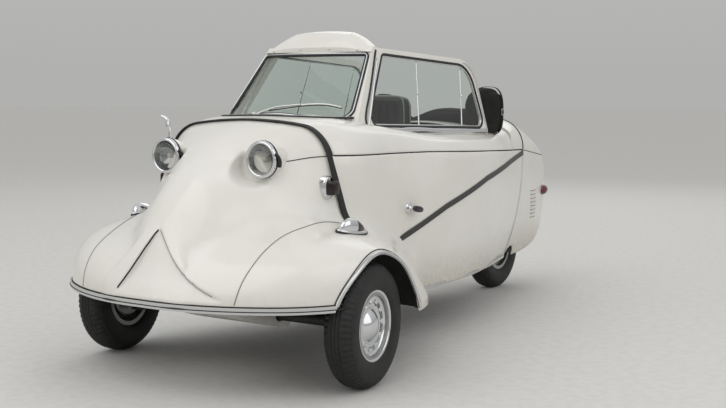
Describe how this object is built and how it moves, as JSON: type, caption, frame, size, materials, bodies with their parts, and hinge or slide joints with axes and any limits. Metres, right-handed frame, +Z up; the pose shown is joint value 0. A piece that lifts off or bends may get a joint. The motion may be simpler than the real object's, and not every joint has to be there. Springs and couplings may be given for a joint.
{
  "type": "three wheeled car",
  "caption": "Tandem-seat three-wheeled car with wide front fenders, side-hinged canopy, folded soft top and lifting tail cover.",
  "frame": {"origin": "On the ground under the middle of the car's length and width", "axes": "+Z up, the nose points to -Y, the car's left side is +X"},
  "size_m": [1.2092, 2.8208, 1.1939],
  "materials": {
    "ivory_paint": "gloss",
    "dark_trim": "satin",
    "bright_trim": "polished",
    "window_glass": "clear",
    "lamp_glass": "ribbed",
    "tyre_rubber": "matte",
    "wheel_paint": "satin",
    "hood_cloth": "matte",
    "seat_cover": "satin",
    "dark_paint": "satin",
    "chassis_steel": "satin",
    "engine_alloy": "rough",
    "red_plastic": "gloss"
  },
  "bodies": {
    "car": {"nose_panel": "ivory_paint", "fender_left": "ivory_paint", "fender_right": "ivory_paint", "tub": "ivory_paint", "rear_deck": "ivory_paint", "front_undertray": "dark_paint", "dashboard": "dark_paint", "front_seat": "seat_cover", "rear_seat": "seat_cover", "seat_frames": "dark_paint", "front_axle": "chassis_steel", "rear_fork": "chassis_steel", "engine": "engine_alloy", "headlamps": "bright_trim", "headlamp_lenses": "lamp_glass", "fender_lamps": "bright_trim", "side_lamps": "lamp_glass", "mirror": "bright_trim", "apron_trim": "bright_trim", "arch_trims": "bright_trim", "sill_trims": "bright_trim", "hoop_trim": "dark_trim", "flank_strips": "dark_trim", "lock_handle": "bright_trim", "lid_hinge_base": "bright_trim", "tail_hinge_base": "bright_trim"},
    "lid": {"lid_shell": "ivory_paint", "windscreen_frame": "ivory_paint", "windscreen_glass": "window_glass", "side_frames": "ivory_paint", "side_glass": "window_glass", "roof_header": "ivory_paint", "folded_hood": "hood_cloth", "wiper": "chassis_steel", "lid_hinge_leaf": "bright_trim"},
    "tail": {"tail_cover": "ivory_paint", "tail_lamps": "red_plastic", "tail_hinge_leaf": "bright_trim"},
    "steering_bar": {"steering_bar": "dark_paint"},
    "knuckle_left": {"knuckle_left": "chassis_steel"},
    "knuckle_right": {"knuckle_right": "chassis_steel"},
    "tie_rod": {"tie_rod": "chassis_steel"},
    "front_left_wheel": {"tyre_front_left": "tyre_rubber", "wheel_front_left": "wheel_paint", "hubcap_front_left": "bright_trim"},
    "front_right_wheel": {"tyre_front_right": "tyre_rubber", "wheel_front_right": "wheel_paint", "hubcap_front_right": "bright_trim"},
    "rear_wheel": {"tyre_rear": "tyre_rubber", "wheel_rear": "wheel_paint"}
  },
  "joints": [
    {"name": "steering", "type": "hinge", "parent": "car", "child": "steering_bar", "pos_m": [0, -0.718, 0.61], "axis": [0, 0.9276, 0.3735], "range_deg": [-34, 22]},
    {"name": "kingpin_left", "type": "hinge", "parent": "car", "child": "knuckle_left", "pos_m": [0.462, -0.94, 0.207], "axis": [0, 0, 1], "range_deg": [-34, 22]},
    {"name": "kingpin_right", "type": "hinge", "parent": "car", "child": "knuckle_right", "pos_m": [-0.462, -0.94, 0.207], "axis": [0, 0, 1], "range_deg": [-34, 22]},
    {"name": "tie_rod_end", "type": "hinge", "parent": "knuckle_left", "child": "tie_rod", "pos_m": [0.45102, -0.83558, 0.188], "axis": [0, 0, 1], "range_deg": [-22, 34]},
    {"name": "front_left_roll", "type": "hinge", "parent": "knuckle_left", "child": "front_left_wheel", "pos_m": [0.53361, -0.93247, 0.207], "axis": [0.9945, 0.1045, 0], "continuous": true},
    {"name": "front_right_roll", "type": "hinge", "parent": "knuckle_right", "child": "front_right_wheel", "pos_m": [-0.53361, -0.94753, 0.207], "axis": [0.9945, 0.1045, 0], "continuous": true},
    {"name": "rear_roll", "type": "hinge", "parent": "car", "child": "rear_wheel", "pos_m": [0, 1.087, 0.207], "axis": [1, 0, 0], "continuous": true},
    {"name": "lid_hinge", "type": "hinge", "parent": "car", "child": "lid", "pos_m": [-0.398, -0.155, 0.74], "axis": [0, -1, 0], "range_deg": [0, 75]},
    {"name": "tail_hinge", "type": "hinge", "parent": "car", "child": "tail", "pos_m": [0, 0.91, 0.866], "axis": [1, 0, 0], "range_deg": [0, 55]}
  ],
  "couplings": [
    {"joint": "kingpin_left", "follows": "steering", "ratio": 1},
    {"joint": "kingpin_right", "follows": "steering", "ratio": 1},
    {"joint": "tie_rod_end", "follows": "steering", "ratio": -1}
  ]
}
